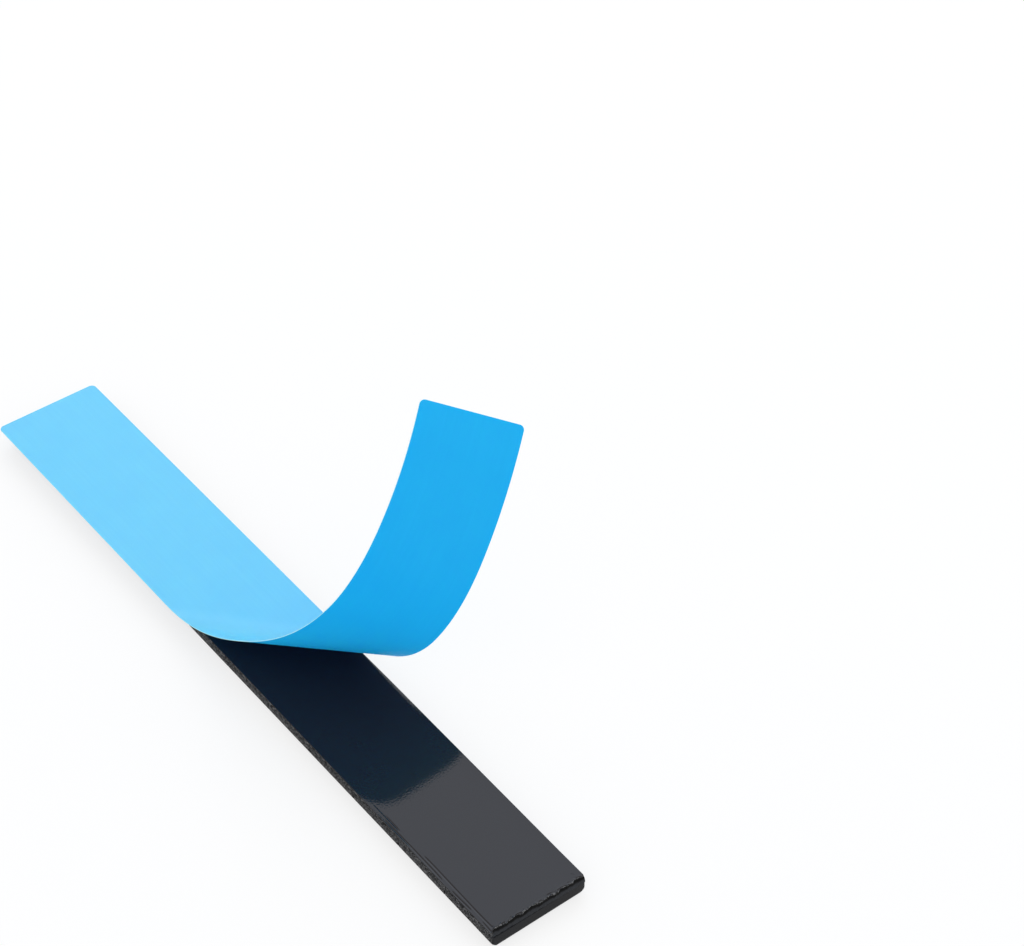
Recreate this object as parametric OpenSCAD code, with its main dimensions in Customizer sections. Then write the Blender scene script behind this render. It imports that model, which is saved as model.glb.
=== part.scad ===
// Adhesive wheel balance weight: a row of coated steel segments glued side by side to one foam
// tape, with the release film peeled back over half of the strip and curling up.
// The strip lies on its steel faces. X runs along it, from the end that the film still covers to
// the bare end. Y runs across it and Z points out of the adhesive. The origin is the middle of the
// adhesive face.

/* [Strip] */
// Number of steel segments
segment_count = 12; // [10:1:16]
// Distance from one segment to the next
segment_pitch = 12.7; // [12:0.1:14]
// Gap between two neighbouring segments
segment_gap = 0.2; // [0.1:0.05:0.8]
// Width of a segment, across the strip
strip_width = 19; // [16:0.5:22]
// Thickness of the steel
steel_thickness = 2.8; // [2.4:0.1:3.6]

/* [Segment edges] */
// Width of the slope that runs along both long sides of the face
shoulder_width = 1.3; // [0.8:0.1:2]
// Height of that slope
shoulder_height = 1.2; // [0.8:0.1:1.6]
// Rounding at the top and the foot of the slope
shoulder_radius = 0.4; // [0.2:0.1:0.6]
// Rounding of the face's edge along a joint between two segments
joint_radius = 0.25; // [0.1:0.05:0.4]
// Rounding of a segment's four corners at the joints, seen from above
joint_corner_radius = 0.1; // [0.05:0.05:0.4]
// Rounding of the edges on the side that is glued to the tape
back_radius = 0.3; // [0.1:0.05:0.5]
// Rounding of the face's edge at the two ends of the strip
end_radius = 0.6; // [0.3:0.1:1]
// Rounding of the strip's four outer corners, seen from above
corner_radius = 0.6; // [0.3:0.1:3]

/* [Foam tape] */
// Thickness of the tape
tape_thickness = 1.2; // [0.8:0.1:1.6]
// Distance from the long sides of the steel to the edge of the tape
tape_side_inset = 0.1; // [0:0.05:1]
// Distance from the ends of the steel to the end of the tape
tape_end_inset = 0.1; // [0:0.05:1]
// Rounding of the edges of the adhesive face
tape_edge_radius = 0.25; // [0.1:0.05:0.6]
// Rounding of the tape's four corners, seen from above
tape_corner_radius = 0.6; // [0.3:0.1:3]

/* [Release film] */
// Thickness of the film
film_thickness = 0.12; // [0.08:0.01:0.2]
// How far the film stands past the steel on its -Y side
near_overhang = 1.8; // [0.5:0.1:3]
// How far the film stands past the steel on its +Y side
far_overhang = 0.2; // [0:0.1:2]
// How far the film stands past the steel at the covered end
end_overhang = 1; // [0.5:0.1:3]
// How much shorter than the strip the free end of the film is, on its centre line
free_shortfall = 3; // [0:0.1:6]
// Angle by which the free end is cut out of square
free_skew = 10; // [0:1:15]
// Rounding of the film's corners
film_corner_radius = 1; // [0.5:0.1:3]

/* [Peeled part] */
// Length from the bare end of the strip to where the film's centre line leaves the adhesive
peeled_length = 81.3; // [70:0.1:90]
// Distance along the centre line between the places where the two rows of angles are given
station_spacing = 19; // [17:0.5:21]
// How sharply the film bends at each of those places, in degrees of turn over one such distance
bend_angles = [47.5, 17, 66.5, 17.5, 12.5, 9.5]; // [0:0.5:75]
// Angle there between the straight lines on the curled film and its width
slant_angles = [49, 41, 5, 0, 21, 20]; // [0:1:55]

/* [Hidden] */
// Straight steps in a quarter of a rounding
corner_steps = 5;
// Longest step along the centre line when the curl is worked out
frame_step_max = 1;
// Longest facet along the peeled film
facet_max = 1.7;
// Strips of facets across the film, between its corner roundings
film_lanes = 4;

strip_length = segment_count * segment_pitch - segment_gap;
segment_length = segment_pitch - segment_gap;
z_back = -tape_thickness;
z_face = z_back - steel_thickness;

film_width = strip_width + near_overhang + far_overhang;
film_half = film_width / 2;
film_y = (far_overhang - near_overhang) / 2;
film_x_start = -strip_length / 2 - end_overhang;
film_x_end = strip_length / 2 - free_shortfall;
peel_x = strip_length / 2 - peeled_length;

function segment_name(i) = str("segment_", i < 10 ? "0" : "", i);

// Points along an arc about (cx, cy), from angle a0 through a sweep
function arc(cx, cy, r, a0, sweep) = [for (i = [0:corner_steps])
    let (a = a0 + sweep * i / corner_steps) [cx + r * cos(a), cy + r * sin(a)]];

// Outline seen from above: a rectangle whose corners are rounded by r0 at x0 and by r1 at x1
function plan_outline(x0, x1, width, r0, r1) = concat(
    arc(x0 + r0, -width / 2 + r0, r0, 180, 90),
    arc(x1 - r1, -width / 2 + r1, r1, 270, 90),
    arc(x1 - r1, width / 2 - r1, r1, 0, 90),
    arc(x0 + r0, width / 2 - r0, r0, 90, 90));

// The rounded back edges of a segment's sections, between x0 and x1
function back_arcs(x0, x1) = concat(
    arc(x1 - back_radius, z_back - back_radius, back_radius, 0, 90),
    arc(x0 + back_radius, z_back - back_radius, back_radius, 90, 90));

// Section across a segment: flat back, upright sides, sloping shoulders and a flat face
function segment_section() =
    let (slope = atan2(shoulder_height, shoulder_width),
         half = strip_width / 2,
         face_tangent = shoulder_radius * tan(slope / 2),
         side_tangent = shoulder_radius * tan((90 - slope) / 2),
         y_face = half - shoulder_width - face_tangent,
         y_side = half - shoulder_radius,
         z_side = z_face + shoulder_height + side_tangent,
         z_low = z_face + shoulder_radius)
    concat(
        arc(-y_side, z_side, shoulder_radius, 180, 90 - slope),
        arc(-y_face, z_low, shoulder_radius, 270 - slope, slope),
        arc(y_face, z_low, shoulder_radius, 270, slope),
        arc(y_side, z_side, shoulder_radius, 270 + slope, 90 - slope),
        back_arcs(-half, half));

// Section along a segment: its face has a rounded edge of radius r0 at x0 and of r1 at x1
function segment_profile(x0, x1, r0, r1) = concat(
    arc(x0 + r0, z_face + r0, r0, 180, 90),
    arc(x1 - r1, z_face + r1, r1, 270, 90),
    back_arcs(x0, x1));

// Section of the tape over a length along or across it, rounded at the adhesive face
function tape_section(length) =
    let (x = length / 2 - tape_edge_radius)
    concat([[-length / 2, z_back], [length / 2, z_back]],
        arc(x, -tape_edge_radius, tape_edge_radius, 0, 90),
        arc(-x, -tape_edge_radius, tape_edge_radius, 90, 90));

// An outline in the YZ plane, drawn out along X
module along_x(outline, length) {
    rotate([90, 0, 90])
        linear_extrude(height = length, center = true)
            polygon(outline);
}

// An outline in the XZ plane, drawn out along Y
module along_y(outline, length) {
    rotate([90, 0, 0])
        linear_extrude(height = length, center = true)
            polygon(outline);
}

// One stamped steel weight: the form that its three outlines have in common
module segment(i) {
    x0 = (i - 1) * segment_pitch - strip_length / 2;
    x1 = x0 + segment_length;
    first = i == 1;
    last = i == segment_count;
    color("#24262b")
        intersection() {
            along_x(segment_section(), strip_length);
            along_y(segment_profile(x0, x1, first ? end_radius : joint_radius,
                last ? end_radius : joint_radius), strip_width);
            translate([0, 0, z_face])
                linear_extrude(height = steel_thickness)
                    polygon(plan_outline(x0, x1, strip_width,
                        first ? corner_radius : joint_corner_radius,
                        last ? corner_radius : joint_corner_radius));
        }
}

// The double-sided tape that holds the row together. Its upper face is the adhesive.
module foam_tape() {
    length = strip_length - 2 * tape_end_inset;
    width = strip_width - 2 * tape_side_inset;
    color("#17181b")
        intersection() {
            along_x(tape_section(width), length);
            along_y(tape_section(length), width);
            translate([0, 0, z_back])
                linear_extrude(height = tape_thickness)
                    polygon(plan_outline(-length / 2, length / 2, width,
                        tape_corner_radius, tape_corner_radius));
        }
}

// The curl of the film. A film can't stretch, so it bends only about straight lines. Along its
// centre line a frame [place, along, across, normal] turns about the line that leaves it at the
// slant, by the bend there. What lies on that line flat, at (u, v), lies on it curled.
stations = [0:len(bend_angles) - 1];
bend_table = [for (i = stations) [i * station_spacing, bend_angles[i]]];
slant_table = [for (i = stations) [i * station_spacing, slant_angles[i]]];
function line_slope(d) = tan(lookup(d, slant_table));

free_span = peeled_length + film_width;
frame_count = ceil(free_span / frame_step_max);
frame_step = free_span / frame_count;

// A vector turned about a unit axis
function turned(p, axis, angle) =
    p * cos(angle) + cross(axis, p) * sin(angle) + axis * (axis * p) * (1 - cos(angle));

// The frame one step past frame f, with the bend and slant at distance d
function next_frame(f, d) =
    let (line = f[2] + line_slope(d) * f[1],
         angle = -lookup(d, bend_table) * norm(line) * frame_step / station_spacing,
         axis = line / norm(line),
         along = turned(f[1], axis, angle))
    [f[0] + (f[1] + along) / 2 * frame_step, along, turned(f[2], axis, angle),
        turned(f[3], axis, angle)];

frames = [for (i = 0, f = [[peel_x, film_y, 0], [1, 0, 0], [0, 1, 0], [0, 0, 1]];
    i <= frame_count;
    f = next_frame(f, (i + 0.5) * frame_step), i = i + 1) f];

// Place on the curled film's lower side at distance v from the centre line, on frame i's line
function line_point(i, v) =
    frames[i][0] + v * (frames[i][2] + line_slope(i * frame_step) * frames[i][1]);

// Place and normal of flat points (u, v) for a list of u, past the line where the film lifts
function curled(us, v) =
    let (table = [for (i = [0:frame_count])
        [peel_x + i * frame_step + v * line_slope(i * frame_step), i]])
    [for (u = us)
        let (k = lookup(u, table), i = min(floor(k), frame_count - 1), t = k - i)
        [(1 - t) * line_point(i, v) + t * line_point(i + 1, v),
            (1 - t) * frames[i][3] + t * frames[i + 1][3]]];

// Rows across the film as [v, how far the rounded corners shorten the row at each end]
film_corner_rows = [for (i = [0:corner_steps])
    let (a = 90 * i / corner_steps)
    [film_half - film_corner_radius * (1 - sin(a)), film_corner_radius * (1 - cos(a))]];
film_flat_half = film_half - film_corner_radius;
film_rows = concat(
    [for (i = [corner_steps:-1:0]) [-film_corner_rows[i][0], film_corner_rows[i][1]]],
    [for (i = [1:film_lanes - 1]) [film_flat_half * (2 * i / film_lanes - 1), 0]],
    film_corner_rows);

// Facets along a row: one for the part that lies flat, then equal ones up to the free end
film_facets = ceil(free_span / facet_max);
function film_row(v, inset) =
    let (u_start = film_x_start + inset,
         u_peel = peel_x + v * line_slope(0),
         u_end = film_x_end + v * tan(free_skew) - inset,
         us = [for (j = [1:film_facets]) u_peel + (u_end - u_peel) * j / film_facets])
    concat([[[u_start, film_y + v, 0], [0, 0, 1]], [[u_peel, film_y + v, 0], [0, 0, 1]]],
        curled(us, v));

// The film: two grids of points a film's thickness apart, closed along their four borders
module release_liner() {
    grid = [for (row = film_rows) film_row(row[0], row[1])];
    rows = len(grid);
    columns = len(grid[0]);
    lower = [for (row = grid, p = row) p[0]];
    upper = [for (row = grid, p = row) p[0] + film_thickness * p[1]];
    function at(side, r, c) = (side * rows + r) * columns + c;
    function quad(a, b, c, d) = [[a, b, c], [a, c, d]];
    faces = concat(
        [for (r = [0:rows - 2], c = [0:columns - 2])
            each quad(at(1, r, c), at(1, r + 1, c), at(1, r + 1, c + 1), at(1, r, c + 1))],
        [for (r = [0:rows - 2], c = [0:columns - 2])
            each quad(at(0, r, c), at(0, r, c + 1), at(0, r + 1, c + 1), at(0, r + 1, c))],
        [for (r = [0:rows - 2])
            each quad(at(0, r, 0), at(0, r + 1, 0), at(1, r + 1, 0), at(1, r, 0))],
        [for (r = [0:rows - 2], c = columns - 1)
            each quad(at(0, r, c), at(1, r, c), at(1, r + 1, c), at(0, r + 1, c))],
        [for (c = [0:columns - 2])
            each quad(at(0, 0, c), at(1, 0, c), at(1, 0, c + 1), at(0, 0, c + 1))],
        [for (c = [0:columns - 2], r = rows - 1)
            each quad(at(0, r, c), at(0, r, c + 1), at(1, r, c + 1), at(1, r, c))]);
    color("#45b3f2")
        polyhedron(points = concat(lower, upper), faces = faces);
}

for (i = [1:segment_count]) segment(i);
foam_tape();
release_liner();
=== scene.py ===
"""Looks of an adhesive wheel balance weight: twelve coated steel segments on one foam tape, with the
blue release film peeled back over half of the strip. Sizes are in millimetres unless a comment says
otherwise, and the frame is the part's own: X along the strip, Z out of the adhesive."""

import math

import bpy
import numpy as np
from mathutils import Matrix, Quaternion, Vector


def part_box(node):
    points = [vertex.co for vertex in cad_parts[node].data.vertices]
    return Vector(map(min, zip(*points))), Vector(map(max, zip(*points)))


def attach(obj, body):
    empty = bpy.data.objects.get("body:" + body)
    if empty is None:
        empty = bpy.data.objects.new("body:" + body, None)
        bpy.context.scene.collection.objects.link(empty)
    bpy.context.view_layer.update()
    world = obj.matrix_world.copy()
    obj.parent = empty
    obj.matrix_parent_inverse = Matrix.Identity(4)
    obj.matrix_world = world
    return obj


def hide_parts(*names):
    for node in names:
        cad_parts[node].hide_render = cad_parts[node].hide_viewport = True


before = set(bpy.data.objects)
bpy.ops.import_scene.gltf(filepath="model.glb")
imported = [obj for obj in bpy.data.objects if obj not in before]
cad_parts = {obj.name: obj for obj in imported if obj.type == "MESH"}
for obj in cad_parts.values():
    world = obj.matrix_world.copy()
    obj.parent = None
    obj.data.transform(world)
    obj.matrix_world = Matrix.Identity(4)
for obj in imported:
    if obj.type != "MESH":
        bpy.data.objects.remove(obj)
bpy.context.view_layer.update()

MM = 0.001
BODY = "root"
LATTICE_SIZE = 257
TOLERANCE = 1e-6

# A stamped segment: its sloping shoulders, the roundings that its tools leave, and the torn band on
# its sheared sides
SHOULDER_WIDTH = 1.3
SHOULDER_HEIGHT = 1.2
SHOULDER_RADIUS = 0.4
JOINT_RADIUS = 0.25
JOINT_CORNER_RADIUS = 0.1
BACK_RADIUS = 0.3
END_RADIUS = 0.6
CORNER_RADIUS = 0.4
SHEARED_DEPTH = 0.25
SHEARED_FADE = 0.4
SEGMENT_STEP = 0.17
END_RING_SHARE = 0.6
ROUNDING_STEPS = 6
SEGMENT_EDGE_ANGLE = 30

# The raised figure 5 that stands twice on each segment's face, once for each way of reading it
FIGURE_PLACE = (3.38, 4.8)
FIGURE_STROKE = 0.46
FIGURE_FLANK = 0.13
FIGURE_HEIGHT = 0.15
FIGURE_BAR = ((0.8, 1.45), (-0.62, 1.47), (-0.72, 0.28))
BOWL_CENTRE = (-0.05, -0.55)
BOWL_RADIUS = 0.92
BOWL_START, BOWL_END = 125, -140
BOWL_STEPS = 24

# The tape's outline and its rings of points
TAPE_EDGE_RADIUS = 0.08
TAPE_CORNER_RADIUS = 0.4
SMALLEST_RADIUS = 0.05
TAPE_STEP = 0.25
RIM_WIDTH = 1.6
CREASED_WIDTH = 1.3
CREASED_STEP = 0.04
SIDE_ROWS = 8
TAPE_EDGE_ANGLE = 50

# The creases in the adhesive along the -Y edge, near the bare end
CREASE_PLACES = (0.36, 0.95)
CREASE_DEPTH = 0.065
CREASE_WIDTH = 0.24
CREASE_START, CREASE_FULL = 43, 50
CREASE_WANDER, WANDER_SPACING = 0.1, 6
CREASE_STEADINESS, FADING_SPACING = 0.8, 4
FADING_SEED = 10

# The tape's long sides, which the blade squeezed out a little unevenly: the -Y side all along, the +Y
# side by an amount that runs evenly between two places along X
NEAR_SQUEEZE = 0.3
FAR_SQUEEZE = ((22, 69), (0.22, -0.08))
SIDE_RAGGEDNESS, SIDE_ONSET = 0.04, 0.25
RAGGED_SPACING, RAGGED_SEED = 0.5, 4
LOWEST_SMEAR = 0.3

# The tape's torn ends. The lip is ragged by three noises, each with its share, spacing and seed, and
# set back. The bare end is cut a little out of square.
TEARS = ((0.5, 2.4, 3), (0.4, 0.9, 6), (0.5, 0.45, 7))
END_RAGGEDNESS = 0.3
END_SETBACK = 0.4
END_SKEW = 0.35
END_LUMPS, LUMPY_WIDTH = 0.12, 1.2
LUMP_SPACING, LUMP_SEED = 0.35, 5
# How far down the tape's side the painted shade of the crack under the lip reaches, and over how much
# of the side it fades
CRACK_SHADE_SHARE, CRACK_SHADE_FADE = 0.5, 0.25
FRINGE_WIDTH = 0.7
SKIN_DEPTH, SKIN_RAGGEDNESS = 0.05, 0.15
SKIN_SEED = 8

# The broad unevenness of the adhesive face, which its material's normals show
FACE_LEAN = 0.041
LEAN_START = 0.16
LEAN_POWER = 7
FACE_WAVE = 0.26
WAVE_LENGTH = 110
WAVE_FALL = 36

# The release film, as it was cut, and the way it curls
FILM_THICKNESS = 0.12
FILM_SKEW = 10
FILM_CORNER_RADIUS = 1
FREE_SHORTFALL = 3
PEELED_LENGTH = 81.3
FAR_OVERHANG = 0.2
STATION_SPACING = 19
BEND = (47.5, 17, 66.5, 17.5, 12.5, 9.5)
SLANT = (49, 41, 5, 0, 21, 20)
FRAME_STEP = 0.25
FILM_STEP = 0.5
LAID_STEP = 2
FILM_LANE = 0.7
FILM_EDGE_ANGLE = 50

# The materials' patterns, each with its spacing, the depth of its relief and the part of its noise
# that shows, and their roughness, which varies with the pattern where it is a pair
GRAIN_SPACING, GRAIN_DEPTH = 0.22, 0.012
PATCH_SPACING = 5
# The part of the speck noise that paints the lighter specks on the edges, partly wear and partly
# painted glints
WEAR_AND_GLINT_RANGE = (0.52, 0.72)
SPECK_SPACING, BREAK_DEPTH = 0.38, 0.06
SPECK_RANGE = (0.51, 0.56)
COAT_ROUGHNESS = (0.36, 0.48)
TORN_ROUGHNESS = 0.6
PEEL_SPACING, PEEL_DEPTH = 0.4, 0.006
HAZE_SPACING = 9
FRAY_RANGE = (0.95, 1.05)
SKIN_ROUGHNESS = (0.03, 0.05)
CELL_SPACING, CELL_DEPTH = 0.25, 0.08
FOAM_ROUGHNESS = 0.9
STREAK_SPACING, STREAK_LENGTH, STREAK_DEPTH = 0.625, 31.25, 0.004
CLOUD_SPACING = 8.33
CLOUD_RANGE = (0.15, 0.4)

# The camera that fits the strip's edges in the photograph. It clips at distances in metres.
CAMERA_PLACE = (273.15, -157.66, 325.19)
CAMERA_AIM = (-6.6, 58.65, 0)
CAMERA_ROLL = -0.142
SENSOR_WIDTH = 36
LENS = 89.775
CLIP_NEAR, CLIP_FAR = 0.01, 50

# A hair's breadth that keeps the figures' faces and the floor out of one plane
FLOOR_GAP = 0.02

# The studio, with its sizes in metres: a white sweep of floor that glows a little, a white surround,
# both toned down where they light the strip, and a broad cool lamp
SWEEP_REACH = 3.0
SWEEP_TONE = 0.85
SWEEP_GLOW = 0.75
SURROUND_TONE = 0.88
LAMP_SIZE = 1.3
LAMP_POWER = 4.5
LAMP_COLOUR = (0.83, 0.97, 1.2)
LAMP_PLACE = (-0.87, 0.68, 1.02)


def node_box(name):
    """A node's lowest and highest corner, in millimetres."""
    low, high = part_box(name)
    return np.array(low) / MM, np.array(high) / MM


SEGMENTS = sorted(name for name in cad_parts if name.startswith("segment_"))
STRIP_LOW = node_box(SEGMENTS[0])[0]
STRIP_HIGH = node_box(SEGMENTS[-1])[1]
TAPE_LOW, TAPE_HIGH = node_box("foam_tape")
FILM_LOW = node_box("release_liner")[0]
Z_BACK = STRIP_HIGH[2]
Z_FACE = STRIP_LOW[2]
FLOOR_Z = Z_FACE - FIGURE_HEIGHT - FLOOR_GAP


def arc(centre, radius, start, sweep, steps=ROUNDING_STEPS):
    """Points on an arc about centre: the angle, in degrees, runs evenly from start through sweep."""
    angle = np.radians(start + sweep * np.linspace(0, 1, steps + 1))
    return np.stack([centre[0] + radius * np.cos(angle), centre[1] + radius * np.sin(angle)], axis=1)


def spaced(start, end, step):
    """Points on the straight line from start to end, about a step apart, without its two ends."""
    start, end = np.array(start), np.array(end)
    count = max(1, round(float(np.linalg.norm(end - start)) / step))
    return start + (end - start) * (np.arange(1, count) / count)[:, None]


def closed_outline(pieces, step):
    """A closed row of points: the pieces in turn, joined by straight lines of evenly spaced points."""
    parts = []
    for piece, following in zip(pieces, pieces[1:] + pieces[:1]):
        parts += [piece, spaced(piece[-1], following[0], step)]
    return np.concatenate(parts)


def rounding_depth(radius, distance):
    """How far a rounded edge has sunk at a distance inwards from the face that it starts from: the
    radius less the height of its circle there."""
    inside = np.clip(radius - distance, 0, radius)
    return radius - np.sqrt(radius * radius - inside * inside)


def lattice_noise(x, y, spacing, seed):
    """Soft noise from -1 to 1: random values on a square lattice, blended by a smooth step."""
    table = np.random.default_rng(seed).uniform(-1, 1, (LATTICE_SIZE, LATTICE_SIZE))
    u, v = np.asarray(x) / spacing, np.asarray(y) / spacing
    column, row = np.floor(u).astype(int), np.floor(v).astype(int)
    s, t = u - column, v - row
    s, t = s * s * (3 - 2 * s), t * t * (3 - 2 * t)

    def corner(i, j):
        """The random values at a corner of each point's square."""
        return table[(row + j) % LATTICE_SIZE, (column + i) % LATTICE_SIZE]

    low = corner(0, 0) * (1 - s) + corner(1, 0) * s
    high = corner(0, 1) * (1 - s) + corner(1, 1) * s
    return low * (1 - t) + high * t


def band_faces(rows, columns, closed=False):
    """Quads between neighbours on a grid of points that is numbered row by row. In a closed grid the
    last column also joins the first."""
    row = np.arange(rows - 1)[:, None]
    column = np.arange(columns if closed else columns - 1)[None, :]
    beside = (column + 1) % columns
    quads = [row * columns + column, row * columns + beside,
             (row + 1) * columns + beside, (row + 1) * columns + column]
    return np.stack(np.broadcast_arrays(*quads), axis=-1).reshape(-1, 4)


def add_piece(name, points, faces, materials, face_materials, nodes, edge_angle):
    """Makes a mesh of points in millimetres, smooth up to the edge angle, that rides on the strip and
    stands for its nodes."""
    mesh = bpy.data.meshes.new(name)
    mesh.from_pydata((points * MM).tolist(), [], faces)
    mesh.polygons.foreach_set("use_smooth", np.ones(len(faces), bool))
    for material in materials:
        mesh.materials.append(material)
    mesh.polygons.foreach_set("material_index", np.asarray(face_materials, np.int32))
    mesh.set_sharp_from_angle(angle=math.radians(edge_angle))
    mesh.update()
    piece = bpy.data.objects.new(name, mesh)
    bpy.context.scene.collection.objects.link(piece)
    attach(piece, BODY)
    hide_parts(*nodes)
    return piece


def set_attribute(piece, name, values):
    """Gives every point of a piece its own number, which a material can read."""
    attribute = piece.data.attributes.new(name, "FLOAT", "POINT")
    attribute.data.foreach_set("value", np.asarray(values, np.float32).ravel())


def linear(colour):
    """An sRGB hex colour as the linear RGBA that Blender's sockets take."""
    parts = np.array([int(colour[i:i + 2], 16) for i in (1, 3, 5)]) / 255
    low, high = parts / 12.92, ((parts + 0.055) / 1.055) ** 2.4
    return (*np.where(parts <= 0.04045, low, high).tolist(), 1.0)


def per_mm(spacing):
    """Scale of a texture in Object coordinates, whose pattern repeats about every spacing."""
    return 1 / (spacing * MM)


def add_node(tree, kind, sockets=None, **settings):
    """Adds a shader node with its settings. Each socket named gets a value or a link to an output."""
    node = tree.nodes.new(kind)
    for key, value in settings.items():
        setattr(node, key, value)
    for key, value in (sockets or {}).items():
        if isinstance(value, bpy.types.NodeSocket):
            tree.links.new(value, node.inputs[key])
        else:
            node.inputs[key].default_value = value
    return node


def new_material(name):
    """A material with nothing in it but its output. Returns the material, its tree and the output."""
    material = bpy.data.materials.new(name)
    material.use_nodes = True
    tree = material.node_tree
    tree.nodes.clear()
    return material, tree, add_node(tree, "ShaderNodeOutputMaterial")


def speckled_break(tree, place, dark, light):
    """A torn break: light specks on dark ground. Returns its noise, which also gives a relief, and its
    colour."""
    noise = add_node(tree, "ShaderNodeTexNoise", {
        "Vector": place, "Scale": per_mm(SPECK_SPACING), "Detail": 2, "Roughness": 0.6,
        "Distortion": 1.2}).outputs["Fac"]
    specks = add_node(tree, "ShaderNodeMapRange", {
        "Value": noise, "From Min": SPECK_RANGE[0], "From Max": SPECK_RANGE[1]}).outputs["Result"]
    colour = add_node(tree, "ShaderNodeMix", {
        0: specks, 6: linear(dark), 7: linear(light)}, data_type="RGBA").outputs[2]
    return noise, colour


def electrocoated_steel():
    """Stamped low-carbon steel under a black electrocoat: satin and a little blue. The fine grain of
    the blank shows through, the edges carry lighter grey specks that are partly worn coat and partly
    painted glints, and the sheared sides keep the torn, speckled break of the blank."""
    material, tree, output = new_material("electrocoated_steel")
    place = add_node(tree, "ShaderNodeTexCoord").outputs["Object"]
    grain = add_node(tree, "ShaderNodeTexNoise", {
        "Vector": place, "Scale": per_mm(GRAIN_SPACING), "Detail": 3,
        "Roughness": 0.6}).outputs["Fac"]
    patches = add_node(tree, "ShaderNodeTexNoise", {
        "Vector": place, "Scale": per_mm(PATCH_SPACING), "Detail": 4,
        "Roughness": 0.65}).outputs["Fac"]
    torn, broken = speckled_break(tree, place, "#0c0c0d", "#646364")
    edge = add_node(tree, "ShaderNodeAttribute", attribute_name="edge").outputs["Fac"]
    sheared = add_node(tree, "ShaderNodeAttribute", attribute_name="sheared").outputs["Fac"]
    # Painted glints, partly wear: where the speck noise meets the nearness to an edge, the coat is
    # painted a lighter grey
    wear_and_glint_patch = add_node(tree, "ShaderNodeMapRange", {
        "Value": torn, "From Min": WEAR_AND_GLINT_RANGE[0], "From Max": WEAR_AND_GLINT_RANGE[1]}).outputs["Result"]
    wear_and_glints = add_node(tree, "ShaderNodeMath", {0: wear_and_glint_patch, 1: edge}, operation="MULTIPLY").outputs[0]
    coat = add_node(tree, "ShaderNodeMix", {
        0: patches, 6: linear("#0b0c0f"), 7: linear("#121419")}, data_type="RGBA").outputs[2]
    rubbed_and_glinting = add_node(tree, "ShaderNodeMix", {
        0: wear_and_glints, 6: coat, 7: linear("#34373d")}, data_type="RGBA").outputs[2]
    colour = add_node(tree, "ShaderNodeMix", {
        0: sheared, 6: rubbed_and_glinting, 7: broken}, data_type="RGBA").outputs[2]
    satin = add_node(tree, "ShaderNodeMapRange", {
        "Value": patches, "To Min": COAT_ROUGHNESS[0],
        "To Max": COAT_ROUGHNESS[1]}).outputs["Result"]
    roughness = add_node(tree, "ShaderNodeMix", {
        0: sheared, 2: satin, 3: TORN_ROUGHNESS}).outputs[0]
    fine = add_node(tree, "ShaderNodeBump", {
        "Height": grain, "Strength": 0.6, "Distance": GRAIN_DEPTH * MM}).outputs["Normal"]
    bump = add_node(tree, "ShaderNodeBump", {
        "Height": torn, "Strength": sheared, "Distance": BREAK_DEPTH * MM,
        "Normal": fine}).outputs["Normal"]
    surface = add_node(tree, "ShaderNodeBsdfPrincipled", {
        "Base Color": colour, "Roughness": roughness, "IOR": 1.5, "Specular IOR Level": 0.11,
        "Normal": bump})
    tree.links.new(surface.outputs[0], output.inputs["Surface"])
    return material


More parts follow.
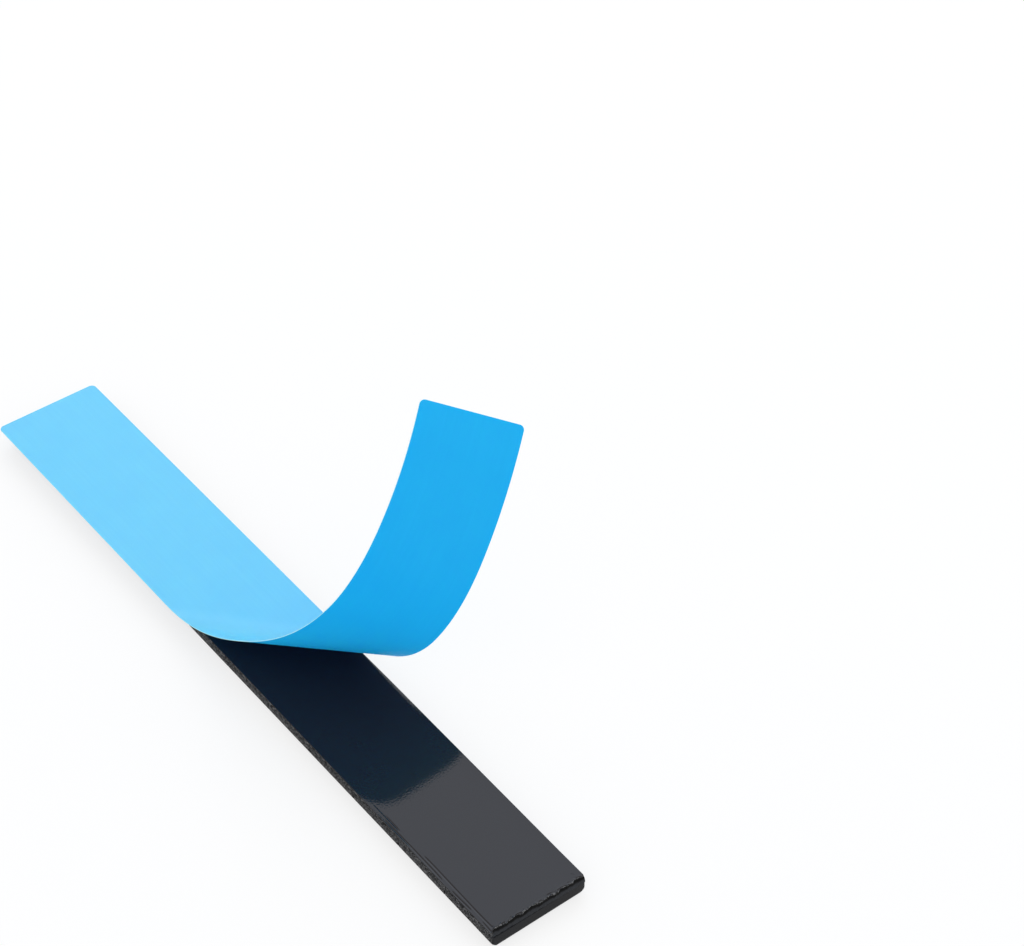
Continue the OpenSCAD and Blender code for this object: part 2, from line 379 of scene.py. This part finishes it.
def adhesive_skin():
    """Acrylic adhesive on black foam, calendered against the film: nearly black and smooth. A faint
    orange peel makes mirrored edges fuzzy. The foam under it is a little thicker towards the +Y edge
    and thinner towards the -Y edge, by the seventh power of Y, and waves slowly along the strip. Over
    the torn lip at the ends it is frayed, dull and speckled."""
    material, tree, output = new_material("acrylic_adhesive_skin")
    place = add_node(tree, "ShaderNodeTexCoord").outputs["Object"]
    axes = add_node(tree, "ShaderNodeSeparateXYZ", {"Vector": place}).outputs
    turn = math.tau / (WAVE_LENGTH * MM)
    phase = add_node(tree, "ShaderNodeMath", {
        0: axes["X"], 1: turn, 2: math.pi - turn * WAVE_FALL * MM},
        operation="MULTIPLY_ADD").outputs[0]
    wave = add_node(tree, "ShaderNodeMath", {0: phase}, operation="SINE").outputs[0]
    wavy = add_node(tree, "ShaderNodeBump", {
        "Height": wave, "Strength": 1.0, "Distance": FACE_WAVE * MM}).outputs["Normal"]
    across = add_node(tree, "ShaderNodeMath", {
        0: axes["Y"], 1: 1 / (TAPE_HIGH[1] * MM), 2: LEAN_START},
        operation="MULTIPLY_ADD").outputs[0]
    lean = add_node(tree, "ShaderNodeMath", {0: across, 1: LEAN_POWER}, operation="POWER").outputs[0]
    leaning = add_node(tree, "ShaderNodeBump", {
        "Height": lean, "Strength": 1.0, "Distance": FACE_LEAN * MM,
        "Normal": wavy}).outputs["Normal"]
    peel = add_node(tree, "ShaderNodeTexNoise", {
        "Vector": place, "Scale": per_mm(PEEL_SPACING), "Detail": 2,
        "Roughness": 0.6}).outputs["Fac"]
    bump = add_node(tree, "ShaderNodeBump", {
        "Height": peel, "Strength": 1.0, "Distance": PEEL_DEPTH * MM,
        "Normal": leaning}).outputs["Normal"]
    haze = add_node(tree, "ShaderNodeTexNoise", {
        "Vector": place, "Scale": per_mm(HAZE_SPACING), "Detail": 3,
        "Roughness": 0.6}).outputs["Fac"]
    gloss = add_node(tree, "ShaderNodeMapRange", {
        "Value": haze, "To Min": SKIN_ROUGHNESS[0], "To Max": SKIN_ROUGHNESS[1]}).outputs["Result"]
    skin = add_node(tree, "ShaderNodeMix", {
        0: haze, 6: linear("#1a171a"), 7: linear("#1c191c")}, data_type="RGBA").outputs[2]
    specks, speckled = speckled_break(tree, place, "#0d0d0e", "#646465")
    fringe = add_node(tree, "ShaderNodeAttribute", attribute_name="fringe").outputs["Fac"]
    nearness = add_node(tree, "ShaderNodeMath", {0: specks, 1: fringe}, operation="ADD").outputs[0]
    frayed = add_node(tree, "ShaderNodeMapRange", {
        "Value": nearness, "From Min": FRAY_RANGE[0], "From Max": FRAY_RANGE[1]}).outputs["Result"]
    colour = add_node(tree, "ShaderNodeMix", {
        0: frayed, 6: skin, 7: speckled}, data_type="RGBA").outputs[2]
    roughness = add_node(tree, "ShaderNodeMix", {
        0: frayed, 2: gloss, 3: TORN_ROUGHNESS}).outputs[0]
    surface = add_node(tree, "ShaderNodeBsdfPrincipled", {
        "Base Color": colour, "Roughness": roughness, "IOR": 1.4, "Specular IOR Level": 0.46,
        "Normal": bump})
    tree.links.new(surface.outputs[0], output.inputs["Surface"])
    return material


def cut_foam():
    """The cut side of closed-cell acrylic foam. It is matt and dark grey with open cells about 0.25 mm
    wide where it was torn, painted black near the top of the side as painted shade in the crack under
    the torn lip, and lighter and speckled where the blade smeared it, along the sides."""
    material, tree, output = new_material("cut_closed_cell_foam")
    place = add_node(tree, "ShaderNodeTexCoord").outputs["Object"]
    cells = add_node(tree, "ShaderNodeTexVoronoi", {
        "Vector": place, "Scale": per_mm(CELL_SPACING), "Randomness": 1.0}).outputs["Distance"]
    specks, smeared_foam = speckled_break(tree, place, "#0d0d0e", "#646465")
    smeared = add_node(tree, "ShaderNodeAttribute", attribute_name="smeared").outputs["Fac"]
    painted_crack_shade = add_node(tree, "ShaderNodeAttribute", attribute_name="painted_crack_shade").outputs["Fac"]
    even_foam = add_node(tree, "ShaderNodeMix", {
        0: specks, 6: linear("#26282b"), 7: linear("#3d3f43")}, data_type="RGBA").outputs[2]
    # Painted shade: the crack under the torn lip is painted near black
    torn_foam_with_crack_shade = add_node(tree, "ShaderNodeMix", {
        0: painted_crack_shade, 6: even_foam, 7: linear("#0a0a0b")}, data_type="RGBA").outputs[2]
    colour = add_node(tree, "ShaderNodeMix", {
        0: smeared, 6: torn_foam_with_crack_shade, 7: smeared_foam}, data_type="RGBA").outputs[2]
    bump = add_node(tree, "ShaderNodeBump", {
        "Height": cells, "Strength": 0.8, "Distance": CELL_DEPTH * MM}).outputs["Normal"]
    surface = add_node(tree, "ShaderNodeBsdfPrincipled", {
        "Base Color": colour, "Roughness": FOAM_ROUGHNESS, "Specular IOR Level": 0.2,
        "Normal": bump})
    tree.links.new(surface.outputs[0], output.inputs["Surface"])
    return material


def film_side(name, colour, faint, roughness, level, depth):
    """One side of the blown polyethylene film, in the blues given to it: the film's dyed blue, which on
    the outer side is lightened by painted sheen and on the cut edge by a painted highlight. Blowing
    leaves faint streaks along the film and winding leaves soft cloudiness. Light goes about as deep as
    the depth into the film, so that some of it comes out on the other side. The patterns follow the
    film laid flat, whose map is in millimetres."""
    material, tree, output = new_material(name)
    flat = add_node(tree, "ShaderNodeUVMap", uv_map="flat").outputs["UV"]
    stretched = add_node(tree, "ShaderNodeMapping", {
        "Vector": flat, "Scale": (STREAK_SPACING / STREAK_LENGTH, 1.0, 1.0)}).outputs["Vector"]
    streaks = add_node(tree, "ShaderNodeTexNoise", {
        "Vector": stretched, "Scale": 1 / STREAK_SPACING, "Detail": 4,
        "Roughness": 0.6}).outputs["Fac"]
    clouds = add_node(tree, "ShaderNodeTexNoise", {
        "Vector": flat, "Scale": 1 / CLOUD_SPACING, "Detail": 3, "Roughness": 0.5}).outputs["Fac"]
    both = add_node(tree, "ShaderNodeMath", {0: streaks, 1: clouds}, operation="MULTIPLY").outputs[0]
    blend = add_node(tree, "ShaderNodeMapRange", {
        "Value": both, "From Min": CLOUD_RANGE[0], "From Max": CLOUD_RANGE[1]}).outputs["Result"]
    dye_and_painted_light = add_node(tree, "ShaderNodeMix", {
        0: blend, 6: linear(colour), 7: linear(faint)}, data_type="RGBA").outputs[2]
    bump = add_node(tree, "ShaderNodeBump", {
        "Height": streaks, "Strength": 0.5, "Distance": STREAK_DEPTH * MM}).outputs["Normal"]
    surface = add_node(tree, "ShaderNodeBsdfPrincipled", {
        "Base Color": dye_and_painted_light, "Roughness": roughness, "IOR": 1.5, "Specular IOR Level": level,
        "Subsurface Weight": 1.0, "Subsurface Radius": (1, 1, 1), "Subsurface Scale": depth * MM,
        "Normal": bump})
    tree.links.new(surface.outputs[0], output.inputs["Surface"])
    return material


def figure_path():
    """Centre line of the figure 5: a bar, a short upright and an open bowl."""
    bowl = arc(BOWL_CENTRE, BOWL_RADIUS, BOWL_START, BOWL_END - BOWL_START, BOWL_STEPS)
    return np.concatenate([FIGURE_BAR, bowl])


def distance_to_path(x, y, path):
    """Distance of each point to the nearest place on an open path of straight pieces."""
    start, reach = path[:-1], np.diff(path, axis=0)
    dx, dy = x[..., None] - start[:, 0], y[..., None] - start[:, 1]
    along = (dx * reach[:, 0] + dy * reach[:, 1]) / (reach ** 2).sum(axis=1)
    along = np.clip(along, 0, 1)
    return np.hypot(dx - along * reach[:, 0], dy - along * reach[:, 1]).min(axis=-1)


def figure_relief(x, y):
    """Height of the two raised figures over a face whose middle is (0, 0), as read from below. It
    falls from full height to none over the flank, in a smooth step, at the edge of the stroke."""
    path = figure_path()
    nearest = np.full(x.shape, np.inf)
    for side in (1, -1):
        a, b = side * x - FIGURE_PLACE[0], FIGURE_PLACE[1] - side * y
        nearest = np.minimum(nearest, distance_to_path(a, b, path))
    fall = np.clip((nearest - FIGURE_STROKE / 2) / FIGURE_FLANK + 0.5, 0, 1)
    return FIGURE_HEIGHT * (1 - fall * fall * (3 - 2 * fall))


def segment_section():
    """Section across a segment, as (y, z) points from the -Y side round the face to the back."""
    half = STRIP_HIGH[1]
    slope = math.degrees(math.atan2(SHOULDER_HEIGHT, SHOULDER_WIDTH))
    y_face = half - SHOULDER_WIDTH - SHOULDER_RADIUS * math.tan(math.radians(slope / 2))
    y_side = half - SHOULDER_RADIUS
    z_side = Z_FACE + SHOULDER_HEIGHT + SHOULDER_RADIUS * math.tan(math.radians((90 - slope) / 2))
    z_low = Z_FACE + SHOULDER_RADIUS
    y_back, z_back = half - BACK_RADIUS, Z_BACK - BACK_RADIUS
    return closed_outline([
        arc((-y_side, z_side), SHOULDER_RADIUS, 180, 90 - slope),
        arc((-y_face, z_low), SHOULDER_RADIUS, 270 - slope, slope),
        arc((y_face, z_low), SHOULDER_RADIUS, 270, slope),
        arc((y_side, z_side), SHOULDER_RADIUS, 270 + slope, 90 - slope),
        arc((y_back, z_back), BACK_RADIUS, 0, 90),
        arc((-y_back, z_back), BACK_RADIUS, 90, 90)], SEGMENT_STEP)


def segment_stations(x0, x1, first, last):
    """Places along a segment: close together over the roundings at its ends, where they follow the
    cosine of an even turn, and even between them."""
    outer, joint = max(CORNER_RADIUS, END_RADIUS), max(JOINT_RADIUS, BACK_RADIUS)
    reach = [outer if first else joint, outer if last else joint]
    ease = (1 - np.cos(np.radians(np.linspace(0, 90, 2 * ROUNDING_STEPS + 1))))
    count = round((x1 - x0 - sum(reach)) / SEGMENT_STEP)
    middle = np.linspace(x0 + reach[0], x1 - reach[1], count + 1)
    return np.concatenate([x0 + ease[:-1] * reach[0], middle, (x1 - ease[:-1] * reach[1])[::-1]])


def make_segment(name, material):
    """One stamped weight. Its section is carried along X. Near the ends the width and height are held
    within the roundings of the plan and the profile. The figures are raised on its flat face."""
    low, high = node_box(name)
    first, last = name == SEGMENTS[0], name == SEGMENTS[-1]
    stations = segment_stations(low[0], high[0], first, last)
    section = segment_section()
    x = np.broadcast_to(stations[:, None], (len(stations), len(section)))
    y = np.broadcast_to(section[:, 0], x.shape)
    z = np.broadcast_to(section[:, 1], x.shape)

    def sunk(outer, joint):
        """How far the deeper of the roundings at the two ends has sunk at each place."""
        start = rounding_depth(outer if first else joint, x - low[0])
        return np.maximum(start, rounding_depth(outer if last else joint, high[0] - x))

    half = high[1] - sunk(CORNER_RADIUS, JOINT_CORNER_RADIUS)
    y = np.clip(y, -half, half)
    z = np.clip(z, Z_FACE + sunk(END_RADIUS, JOINT_RADIUS), Z_BACK - sunk(BACK_RADIUS, BACK_RADIUS))
    relief = figure_relief(x - (low[0] + high[0]) / 2, y)
    z = z - np.where(section[:, 1] <= Z_FACE + TOLERANCE, relief, 0)
    grid = np.stack([x, y, z], axis=-1)
    middle = grid.mean(axis=1, keepdims=True)
    inner = middle + (grid - middle) * END_RING_SHARE
    grid = np.concatenate([inner[:1], grid, inner[-1:]])
    rows, columns = grid.shape[:2]
    quads = band_faces(rows, columns, closed=True)
    caps = [list(range(columns)), list(range((rows - 1) * columns, rows * columns))[::-1]]
    faces = quads[:, ::-1].tolist() + caps
    piece = add_piece("coated_" + name, grid.reshape(-1, 3), faces, [material],
                      np.zeros(len(faces)), [name], SEGMENT_EDGE_ANGLE)
    set_attribute(piece, "edge", segment_edges(grid, low, high))
    to_side = high[1] - np.abs(grid[..., 1])
    z = grid[..., 2]
    to_rim = np.minimum(Z_BACK - z, z - Z_FACE - SHOULDER_HEIGHT)
    sheared = np.clip(1 - to_side / SHEARED_DEPTH, 0, 1) * np.clip(to_rim / SHEARED_FADE, 0, 1)
    set_attribute(piece, "sheared", sheared)
    return piece


def segment_edges(grid, low, high):
    """How close each point is to a segment's edges, from 1 on a rounding to 0 a rounding's width off:
    a point is near an edge where it is near two of the sides at once."""
    x, y, z = np.moveaxis(grid, -1, 0)
    reach = 2 * JOINT_RADIUS
    near = np.stack([
        np.minimum(x - low[0], high[0] - x),
        np.minimum(y - low[1], high[1] - y),
        np.minimum(z - Z_FACE, Z_BACK - z)])
    second = np.sort(near, axis=0)[1]
    return np.clip(1 - second / reach, 0, 1)


def tape_rings():
    """The tape's rings, from inside the adhesive face out over the rounded edge and down the side: how
    far each lies in from the outline, and how deep below the face."""
    turn = np.radians(np.linspace(0, 90, ROUNDING_STEPS + 1))
    creased = np.arange(CREASED_WIDTH, TAPE_EDGE_RADIUS, -CREASED_STEP)
    over = np.concatenate([[RIM_WIDTH], creased])
    down = np.linspace(TAPE_EDGE_RADIUS, -TAPE_LOW[2], SIDE_ROWS + 1)[1:]
    inset = np.concatenate([over, TAPE_EDGE_RADIUS * (1 - np.sin(turn)), 0 * down])
    depth = np.concatenate([0 * over, TAPE_EDGE_RADIUS * (1 - np.cos(turn)), down])
    return inset[:, None], depth[:, None]


def crease_drop(inset, x):
    """How far the adhesive lies below its face in the creases along the -Y edge: grooves with straight
    flanks that wander along the edge, fade out and come back, and start on the bare half."""
    share = np.clip((x - CREASE_START) / (CREASE_FULL - CREASE_START), 0, 1)
    drop = 0 * inset
    for seed, distance in enumerate(CREASE_PLACES):
        middle = distance + CREASE_WANDER * lattice_noise(x, 0 * x, WANDER_SPACING, seed)
        fading = lattice_noise(x, 0 * x, FADING_SPACING, seed + FADING_SEED)
        depth = CREASE_DEPTH * np.clip(CREASE_STEADINESS + fading, 0, 1)
        drop = drop + share * depth * np.clip(1 - np.abs(inset - middle) / CREASE_WIDTH, 0, 1)
    return drop


def tape_outline():
    """The tape's outline at the adhesive, the middles of its roundings, and its outward directions."""
    length, width = TAPE_HIGH[0] - TAPE_LOW[0], TAPE_HIGH[1] - TAPE_LOW[1]
    radius = TAPE_CORNER_RADIUS
    x, y = length / 2 - radius, width / 2 - radius
    outline = closed_outline([
        arc((-x, -y), radius, 180, 90), arc((x, -y), radius, 270, 90),
        arc((x, y), radius, 0, 90), arc((-x, y), radius, 90, 90)], TAPE_STEP)
    core = np.clip(outline, (-x, -y), (x, y))
    return outline, core, (outline - core) / radius


def tape_push(outline, outward, inset, depth, side_share):
    """How far the tape's rings stand out past its outline. The ends are ragged and set back at the lip,
    by the square of what is left of the side's height, and the bare end slants. The long sides are
    squeezed out and uneven. The noise reads the sum of X and Y, which runs on round the corners."""
    place = outline.sum(axis=1)
    at_end = outward[:, 0] ** 2
    at_bare_end = np.clip(outward[:, 0], 0, 1) ** 2
    near, far = np.clip(-outward[:, 1], 0, 1) ** 2, np.clip(outward[:, 1], 0, 1) ** 2
    lip = np.clip(1 - inset / CREASED_WIDTH, 0, 1) ** 2
    torn = sum(share * lattice_noise(place, 0 * place, spacing, seed)
               for share, spacing, seed in TEARS)
    set_back = END_SETBACK - END_RAGGEDNESS * torn
    uneven = lattice_noise(place, depth, RAGGED_SPACING, RAGGED_SEED)
    push = -set_back * (1 - side_share) ** 2 * at_end * lip
    push = push + SIDE_RAGGEDNESS * (1 + at_end) * uneven * np.minimum(side_share / SIDE_ONSET, 1)
    push = push + near * NEAR_SQUEEZE + far * np.interp(outline[:, 0], *FAR_SQUEEZE)
    slant = 0.5 + outline[:, 1] / (TAPE_HIGH[1] - TAPE_LOW[1])
    return push + at_bare_end * END_SKEW * slant


def make_tape(materials):
    """The foam tape: rings round its outline, moved in, down and out, with a rounded corner as wide as
    is left of the outline's own. The face is creased along the -Y edge and lumpy over the torn lips,
    and both die out down the side. The materials are those of the adhesive skin and the foam."""
    outline, core, outward = tape_outline()
    place = outline.sum(axis=1)
    inset, depth = tape_rings()
    side_share = (depth - TAPE_EDGE_RADIUS) / (-TAPE_LOW[2] - TAPE_EDGE_RADIUS)
    side_share = np.clip(side_share, 0, 1)
    corner = np.maximum(TAPE_CORNER_RADIUS - inset, SMALLEST_RADIUS)
    shrink = 1 - (inset + corner - TAPE_CORNER_RADIUS) / core.max(axis=0)
    push = tape_push(outline, outward, inset, depth, side_share)
    flat = core * shrink[:, None] + (corner + push)[..., None] * outward

    at_end, near = outward[:, 0] ** 2, np.clip(-outward[:, 1], 0, 1) ** 2
    lumps = lattice_noise(place, inset, LUMP_SPACING, LUMP_SEED)
    lumps = lumps * np.clip(1 - inset / LUMPY_WIDTH, 0, 1)
    drop = near * crease_drop(inset, outline[:, 0]) + END_LUMPS * at_end * lumps
    height = -depth - drop * (1 - side_share)
    points = np.concatenate([flat, height[..., None]], axis=-1)

    rows, columns = height.shape
    quads = band_faces(rows, columns, closed=True)
    ragged = 0.5 + 0.5 * lattice_noise(place, 0 * place, RAGGED_SPACING, SKIN_SEED)
    is_foam = depth[1:] > SKIN_DEPTH + SKIN_RAGGEDNESS * at_end * ragged
    top = list(range(columns))
    bottom = list(range((rows - 1) * columns, rows * columns))[::-1]
    faces = quads[:, ::-1].tolist() + [top, bottom]
    face_materials = np.concatenate([is_foam.ravel(), [0, 1]])
    piece = add_piece("adhesive_foam_tape", points.reshape(-1, 3), faces, materials,
                      face_materials, ["foam_tape"], TAPE_EDGE_ANGLE)
    above_steel = np.clip((-TAPE_LOW[2] - depth) / SHEARED_FADE, LOWEST_SMEAR, 1)
    set_attribute(piece, "smeared", (1 - at_end) * above_steel)
    set_attribute(piece, "fringe", at_end * np.clip(1 - inset / FRINGE_WIDTH, 0, 1))
    # Painted shade of the crack: black over the top quarter of the side, fading out by its middle
    painted_crack_shade = np.clip((CRACK_SHADE_SHARE - side_share) / CRACK_SHADE_FADE, 0, 1)
    set_attribute(piece, "painted_crack_shade", np.broadcast_to(painted_crack_shade, height.shape))
    return piece


def turned(vector, axis, angle):
    """A vector turned about a unit axis by an angle in radians."""
    return (vector * math.cos(angle) + np.cross(axis, vector) * math.sin(angle)
            + axis * np.dot(axis, vector) * (1 - math.cos(angle)))


def film_curl(reach, start):
    """The curl of the film. It can't stretch, so it bends only about straight lines. Along its centre
    line a frame of directions along, across and out of the film turns about the line that leaves it at
    the slant, by the bend there. Returns the places, the lines and the normals at each step, and how
    far each line leans along the film."""
    stations = np.arange(len(BEND)) * STATION_SPACING
    count = math.ceil(reach / FRAME_STEP)
    step = reach / count
    place, along = np.array(start, float), np.array([1.0, 0, 0])
    across, normal = np.array([0, 1.0, 0]), np.array([0, 0, 1.0])
    places, lines, normals, slopes = [], [], [], []
    for i in range(count + 1):
        slope = math.tan(math.radians(np.interp(i * step, stations, SLANT)))
        places.append(place)
        lines.append(across + slope * along)
        normals.append(normal)
        slopes.append(slope)
        middle = (i + 0.5) * step
        line = across + math.tan(math.radians(np.interp(middle, stations, SLANT))) * along
        length = np.linalg.norm(line)
        bend = math.radians(np.interp(middle, stations, BEND))
        angle = -bend * length * step / STATION_SPACING
        ahead = turned(along, line / length, angle)
        place = place + (along + ahead) / 2 * step
        across, normal = turned(across, line / length, angle), turned(normal, line / length, angle)
        along = ahead
    return [np.array(values) for values in (places, lines, normals, slopes)], step


def make_film(materials):
    """The release film: two grids of points a film's thickness apart, closed along their borders. A
    flat point (u, v) lies, once curled, at distance v along the line that passes through it. The
    materials are those of the outer side, the release side and the cut edge."""
    width = STRIP_HIGH[1] - FILM_LOW[1] + FAR_OVERHANG
    centre = FILM_LOW[1] + width / 2
    peel = STRIP_HIGH[0] - PEELED_LENGTH
    end = STRIP_HIGH[0] - FREE_SHORTFALL
    reach = PEELED_LENGTH + width
    (places, lines, normals, slopes), step = film_curl(reach, (peel, centre, 0))

    turn = np.radians(np.linspace(0, 90, ROUNDING_STEPS + 1))
    corner_v = width / 2 - FILM_CORNER_RADIUS * (1 - np.sin(turn))
    corner_inset = FILM_CORNER_RADIUS * (1 - np.cos(turn))
    flat_half = width / 2 - FILM_CORNER_RADIUS
    lanes = spaced((-flat_half,), (flat_half,), FILM_LANE)[:, 0]
    v = np.concatenate([-corner_v[::-1], lanes, corner_v])
    inset = np.concatenate([corner_inset[::-1], np.zeros(len(lanes)), corner_inset])

    u_start, u_peel = FILM_LOW[0] + inset, peel + v * slopes[0]
    u_end = end + v * math.tan(math.radians(FILM_SKEW)) - inset
    laid = np.linspace(0, 1, round((peel - FILM_LOW[0]) / LAID_STEP))
    lifted = np.linspace(0, 1, math.ceil(reach / FILM_STEP))
    u = np.concatenate([u_start[:, None] + (u_peel - u_start)[:, None] * laid[:-1],
                        u_peel[:, None] + (u_end - u_peel)[:, None] * lifted], axis=1)
    row_v = np.broadcast_to(v[:, None], u.shape)

    index = np.arange(len(slopes))
    k = np.stack([np.interp(row_u, peel + index * step + one_v * slopes, index)
                  for row_u, one_v in zip(u, v)])
    low_index = np.minimum(k.astype(int), len(index) - 2)
    share = (k - low_index)[..., None]

    def on_line(i):
        """Each point's place on the line with its number i."""
        return places[i] + row_v[..., None] * lines[i]

    curled = (1 - share) * on_line(low_index) + share * on_line(low_index + 1)
    normal = (1 - share) * normals[low_index] + share * normals[low_index + 1]
    on_tape = (u <= u_peel[:, None])[..., None]
    below = np.where(on_tape, np.stack([u, centre + row_v, 0 * u], axis=-1), curled)
    normal = np.where(on_tape, np.array([0, 0, 1.0]), normal)
    above = below + FILM_THICKNESS * normal

    rows, columns = u.shape
    count = rows * columns
    grid = band_faces(rows, columns)
    ring = np.concatenate([np.arange(columns), np.arange(1, rows) * columns + columns - 1,
                           (rows - 1) * columns + np.arange(columns - 2, -1, -1),
                           np.arange(rows - 2, 0, -1) * columns])
    following = np.roll(ring, -1)
    border = np.stack([ring, following, following + count, ring + count], axis=-1)
    faces = np.concatenate([grid[:, ::-1], grid + count, border[:, ::-1]])
    points = np.concatenate([below.reshape(-1, 3), above.reshape(-1, 3)])
    face_materials = np.repeat([1, 0, 2], [len(grid), len(grid), len(border)])
    piece = add_piece("peeled_release_film", points, faces.tolist(), materials, face_materials,
                      ["release_liner"], FILM_EDGE_ANGLE)
    flat = np.tile(np.stack([u, row_v], axis=-1).reshape(-1, 2), (2, 1))
    layer = piece.data.uv_layers.new(name="flat")
    corners = np.zeros(len(piece.data.loops), np.int32)
    piece.data.loops.foreach_get("vertex_index", corners)
    layer.data.foreach_set("uv", flat[corners].astype(np.float32).ravel())
    return piece


def make_camera():
    """The camera stands above the bare end, on the -Y side, at the photograph's viewing angle."""
    data = bpy.data.cameras.new("photo_camera")
    data.sensor_fit = "HORIZONTAL"
    data.sensor_width = SENSOR_WIDTH
    data.lens = LENS
    data.clip_start, data.clip_end = CLIP_NEAR, CLIP_FAR
    camera = bpy.data.objects.new("photo_camera", data)
    place, aim = Vector(CAMERA_PLACE) * MM, Vector(CAMERA_AIM) * MM
    camera.location = place
    camera.rotation_mode = "QUATERNION"
    level = (aim - place).to_track_quat("-Z", "Y")
    camera.rotation_quaternion = level @ Quaternion((0, 0, 1), math.radians(CAMERA_ROLL))
    bpy.context.scene.collection.objects.link(camera)
    bpy.context.scene.camera = camera


def is_seen_direct(tree):
    """1 for a ray from the camera, or one that a glossy or clear surface sends on, and 0 for others."""
    path = add_node(tree, "ShaderNodeLightPath").outputs
    either = add_node(tree, "ShaderNodeMath", {
        0: path["Is Camera Ray"], 1: path["Is Glossy Ray"]}, operation="MAXIMUM").outputs[0]
    return add_node(tree, "ShaderNodeMath", {
        0: either, 1: path["Is Transmission Ray"]}, operation="MAXIMUM").outputs[0]


def make_studio():
    """A white sweep of floor, an even white surround, and one broad soft lamp overhead."""
    mesh = bpy.data.meshes.new("studio_floor")
    reach, z = SWEEP_REACH, FLOOR_Z * MM
    corners = [(-reach, -reach, z), (reach, -reach, z), (reach, reach, z), (-reach, reach, z)]
    mesh.from_pydata(corners, [], [(0, 1, 2, 3)])
    floor = bpy.data.objects.new("studio_floor", mesh)
    bpy.context.scene.collection.objects.link(floor)
    material, tree, output = new_material("white_paper_sweep")
    seen = is_seen_direct(tree)
    tone = add_node(tree, "ShaderNodeMapRange", {
        "Value": seen, "To Min": SWEEP_TONE, "To Max": 1.0}).outputs["Result"]
    paper = add_node(tree, "ShaderNodeBsdfDiffuse", {"Color": tone}).outputs[0]
    glow = add_node(tree, "ShaderNodeEmission", {"Color": linear("#ffffff")}).outputs[0]
    share = add_node(tree, "ShaderNodeMath", {
        0: seen, 1: SWEEP_GLOW}, operation="MULTIPLY").outputs[0]
    sweep = add_node(tree, "ShaderNodeMixShader", {0: share, 1: paper, 2: glow}).outputs[0]
    tree.links.new(sweep, output.inputs["Surface"])
    mesh.materials.append(material)

    world = bpy.data.worlds.new("white_surround")
    world.use_nodes = True
    bpy.context.scene.world = world
    tree = world.node_tree
    tree.nodes.clear()
    strength = add_node(tree, "ShaderNodeMapRange", {
        "Value": is_seen_direct(tree), "To Min": SURROUND_TONE, "To Max": 1.0}).outputs["Result"]
    sky = add_node(tree, "ShaderNodeBackground", {
        "Color": linear("#ffffff"), "Strength": strength})
    output = add_node(tree, "ShaderNodeOutputWorld")
    tree.links.new(sky.outputs[0], output.inputs["Surface"])

    lamp = bpy.data.lights.new("soft_overhead_lamp", "AREA")
    lamp.shape = "DISK"
    lamp.size = LAMP_SIZE
    lamp.energy = LAMP_POWER
    lamp.color = LAMP_COLOUR
    hung = bpy.data.objects.new("soft_overhead_lamp", lamp)
    hung.location = LAMP_PLACE
    hung.rotation_mode = "QUATERNION"
    hung.rotation_quaternion = (-hung.location).to_track_quat("-Z", "Y")
    hung.visible_camera = False
    bpy.context.scene.collection.objects.link(hung)


make_camera()
make_studio()
steel = electrocoated_steel()
for segment in SEGMENTS:
    make_segment(segment, steel)
make_tape([adhesive_skin(), cut_foam()])
# Each side has two blues, its roughness and specular level, and how deep light goes into it. The outer
# side's blues are lighter than the release side's: the film's blue with painted sheen. The cut edge's
# are near white: a painted highlight.
# Painted sheen: the outer side is painted a lighter blue than the release side
make_film([film_side("film_outer_side_painted_sheen", "#60cdf8", "#64d0f9", 0.3, 0.48, 0.03),
           film_side("siliconised_release_side", "#1cb6f1", "#1eb9f3", 0.45, 0.1, 0.25),
           # Painted highlight: the cut edge is painted a near-white blue
           film_side("film_cut_edge_painted_highlight", "#b4ecff", "#c0f0ff", 0.5, 0.5, 0.03)])

bpy.context.scene.view_settings.view_transform = "Standard"
